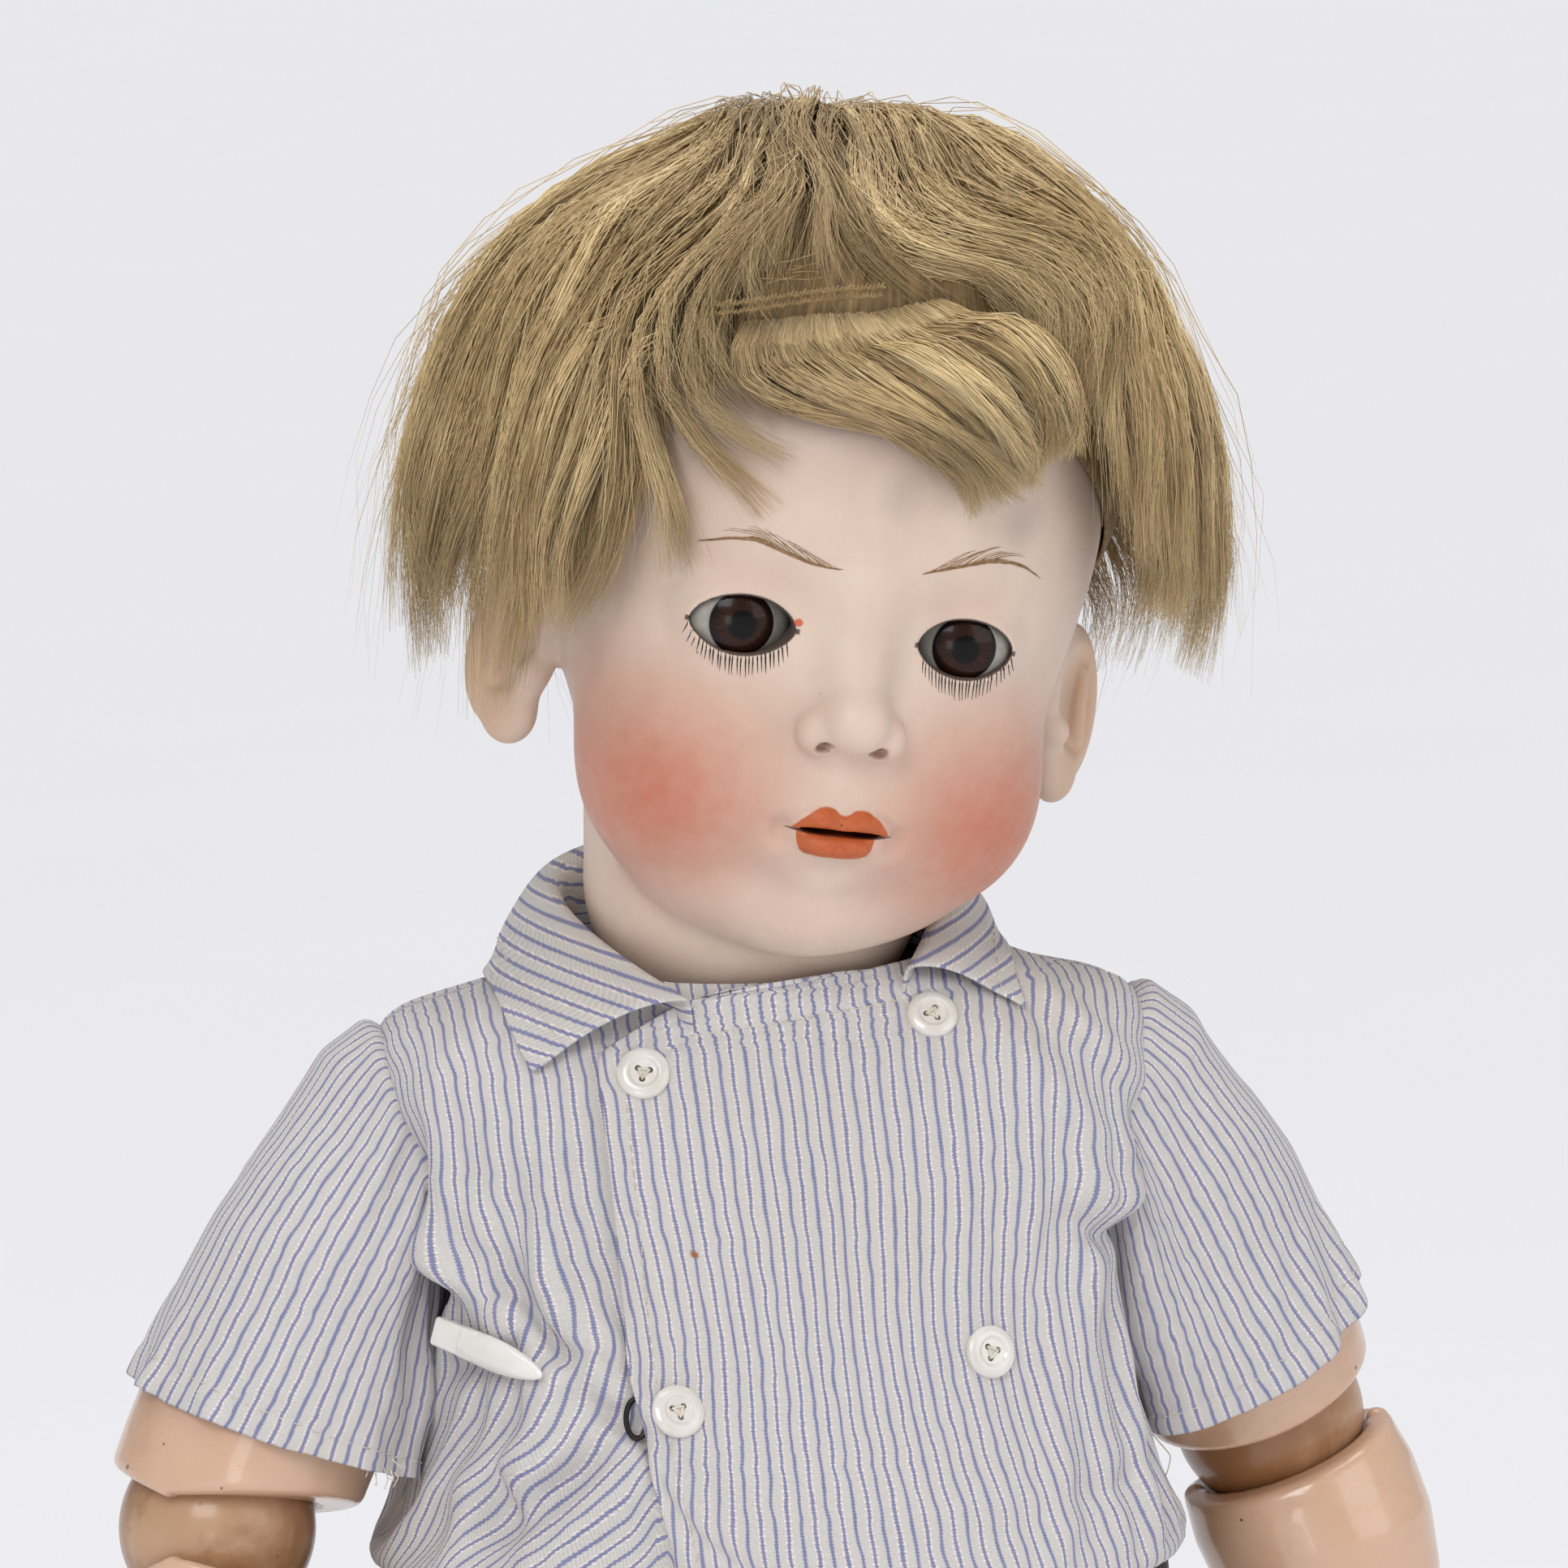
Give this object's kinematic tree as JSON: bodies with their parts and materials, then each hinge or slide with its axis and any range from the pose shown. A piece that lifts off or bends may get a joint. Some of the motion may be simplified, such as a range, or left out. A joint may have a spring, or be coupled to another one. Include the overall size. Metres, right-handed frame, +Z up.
{
  "type": "jointed doll",
  "caption": "Standing jointed child doll with a bisque socket head, sleeping glass eyes, short mohair wig and ball-jointed composition limbs, in a striped shirt and dark gathered shorts.",
  "frame": {"origin": "on the floor under the middle of the outline, with both soles at Z = 0", "axes": "+Z up, the doll faces -Y, its left hand is on +X"},
  "size_m": [0.2982, 0.1636, 0.5904],
  "materials": {
    "composition": "glossy flesh-coloured lacquer over pressed composition, with small dark specks",
    "ball_composition": "tan varnished joint ball",
    "bisque": "matt fired bisque, tinted cheeks, painted lips, brows and lashes",
    "eye_glass": "blown opaque glass, dark brown iris on greyish white",
    "lead": "dull lead",
    "wire": "dark blackened wire",
    "turned_wood": "plain turned wood and cork",
    "plaster": "plaster of Paris",
    "pasteboard": "pressed pasteboard",
    "mohair": "dark blond mohair on a stitched cap",
    "striped_cotton": "cream cotton with fine blue woven stripes",
    "dark_wool": "charcoal gathered wool cloth",
    "china": "white glazed china",
    "white_plastic": "white moulded plastic",
    "elastic": "covered round elastic"
  },
  "bodies": {
    "torso": {"torso_front_shell": "composition", "torso_back_shell": "composition", "shirt_body": "striped_cotton", "shirt_front_lap": "striped_cotton", "collar": "striped_cotton", "button_upper_right": "china", "button_upper_left": "china", "button_lower_right": "china", "button_lower_left": "china", "nursery_pin_head": "white_plastic", "nursery_pin_wire": "wire", "fastening_eye": "wire", "shorts_seat": "dark_wool", "arm_elastic": "elastic", "leg_elastic": "elastic"},
    "neck": {"neck_button": "turned_wood", "neck_hook": "wire"},
    "head": {"bisque_head": "bisque", "pate": "pasteboard", "wig": "mohair", "eye_bed_r": "plaster", "eye_bed_l": "plaster", "eye_stop_cork": "turned_wood"},
    "eyes": {"glass_eye_r": "eye_glass", "glass_eye_l": "eye_glass", "eye_yoke": "wire", "eye_weight": "lead"},
    "shoulder_r": {"shoulder_ball_r": "ball_composition"},
    "upper_arm_r": {"upper_arm_r": "composition", "sleeve_r": "striped_cotton"},
    "elbow_r": {"elbow_ball_r": "ball_composition"},
    "forearm_r": {"forearm_r": "composition"},
    "hand_r": {"hand_r": "composition", "hand_hook_r": "wire"},
    "thigh_r": {"thigh_r": "composition", "shorts_leg_r": "dark_wool"},
    "knee_r": {"knee_ball_r": "ball_composition"},
    "lower_leg_r": {"lower_leg_r": "composition", "shin_hook_r": "wire"},
    "shoulder_l": {"shoulder_ball_l": "ball_composition"},
    "upper_arm_l": {"upper_arm_l": "composition", "sleeve_l": "striped_cotton"},
    "elbow_l": {"elbow_ball_l": "ball_composition"},
    "forearm_l": {"forearm_l": "composition"},
    "hand_l": {"hand_l": "composition", "hand_hook_l": "wire"},
    "thigh_l": {"thigh_l": "composition", "shorts_leg_l": "dark_wool"},
    "knee_l": {"knee_ball_l": "ball_composition"},
    "lower_leg_l": {"lower_leg_l": "composition", "shin_hook_l": "wire"}
  },
  "joints": [
    {"name": "head_turn", "type": "hinge", "parent": "torso", "child": "neck", "pos_m": [-0.007, -0.00117, 0.406], "axis": [0, 0, 1], "range_deg": [-60, 50], "deforming": ["collar"]},
    {"name": "head_nod", "type": "hinge", "parent": "neck", "child": "head", "pos_m": [-0.007, -0.00117, 0.406], "axis": [0.9976, 0.0698, 0], "range_deg": [-12, 8]},
    {"name": "eye_sleep", "type": "hinge", "parent": "head", "child": "eyes", "pos_m": [0.00904, -0.04807, 0.48206], "axis": [0.9839, 0.0688, -0.165], "range_deg": [0, 50]},
    {"name": "shoulder_swing_r", "type": "hinge", "parent": "torso", "child": "shoulder_r", "pos_m": [-0.087, -0.00117, 0.377], "axis": [-1, 0, 0], "range_deg": [-25, 100], "deforming": ["shirt_body", "shirt_front_lap", "arm_elastic"]},
    {"name": "shoulder_lift_r", "type": "hinge", "parent": "shoulder_r", "child": "upper_arm_r", "pos_m": [-0.087, -0.00117, 0.377], "axis": [0, 1, 0], "range_deg": [-5, 50], "deforming": ["sleeve_r"]},
    {"name": "elbow_bend_r", "type": "hinge", "parent": "upper_arm_r", "child": "elbow_r", "pos_m": [-0.12757, -0.01027, 0.29047], "axis": [-0.4826, -0.8183, 0.3123], "range_deg": [-32, 32]},
    {"name": "forearm_twist_r", "type": "hinge", "parent": "elbow_r", "child": "forearm_r", "pos_m": [-0.12757, -0.01027, 0.29047], "axis": [0.2001, -0.4501, -0.8703], "range_deg": [-60, 60]},
    {"name": "wrist_turn_r", "type": "hinge", "parent": "forearm_r", "child": "hand_r", "pos_m": [-0.11317, -0.04267, 0.22781], "axis": [0.2001, -0.4501, -0.8703], "range_deg": [-90, 90]},
    {"name": "hip_swing_r", "type": "hinge", "parent": "torso", "child": "thigh_r", "pos_m": [-0.045, -0.00317, 0.222], "axis": [-1, 0, 0], "range_deg": [-6, 80], "deforming": ["shorts_leg_r", "shorts_seat", "leg_elastic"]},
    {"name": "knee_bend_r", "type": "hinge", "parent": "thigh_r", "child": "knee_r", "pos_m": [-0.052, -0.00517, 0.122], "axis": [1, 0, 0], "range_deg": [0, 70]},
    {"name": "shin_twist_r", "type": "hinge", "parent": "knee_r", "child": "lower_leg_r", "pos_m": [-0.052, -0.00517, 0.122], "axis": [-0.0213, 0.0425, -0.9989], "range_deg": [-25, 25]},
    {"name": "shoulder_swing_l", "type": "hinge", "parent": "torso", "child": "shoulder_l", "pos_m": [0.073, -0.00117, 0.377], "axis": [-1, 0, 0], "range_deg": [-8, 110]},
    {"name": "shoulder_lift_l", "type": "hinge", "parent": "shoulder_l", "child": "upper_arm_l", "pos_m": [0.073, -0.00117, 0.377], "axis": [0, -1, 0], "range_deg": [-5, 50], "deforming": ["sleeve_l"]},
    {"name": "elbow_bend_l", "type": "hinge", "parent": "upper_arm_l", "child": "elbow_l", "pos_m": [0.10662, 0.02958, 0.2925], "axis": [-0.9339, 0.0473, -0.3544], "range_deg": [-25, 14]},
    {"name": "forearm_twist_l", "type": "hinge", "parent": "elbow_l", "child": "forearm_l", "pos_m": [0.10662, 0.02958, 0.2925], "axis": [0.341, -0.1805, -0.9226], "range_deg": [-60, 60]},
    {"name": "wrist_turn_l", "type": "hinge", "parent": "forearm_l", "child": "hand_l", "pos_m": [0.13117, 0.01659, 0.22608], "axis": [0.341, -0.1805, -0.9226], "range_deg": [-90, 90]},
    {"name": "hip_swing_l", "type": "hinge", "parent": "torso", "child": "thigh_l", "pos_m": [0.031, -0.00317, 0.222], "axis": [-1, 0, 0], "range_deg": [-6, 80], "deforming": ["shorts_leg_l"]},
    {"name": "knee_bend_l", "type": "hinge", "parent": "thigh_l", "child": "knee_l", "pos_m": [0.038, -0.00517, 0.122], "axis": [1, 0, 0], "range_deg": [0, 70]},
    {"name": "shin_twist_l", "type": "hinge", "parent": "knee_l", "child": "lower_leg_l", "pos_m": [0.038, -0.00517, 0.122], "axis": [0.0213, 0.0425, -0.9989], "range_deg": [-25, 25]}
  ]
}
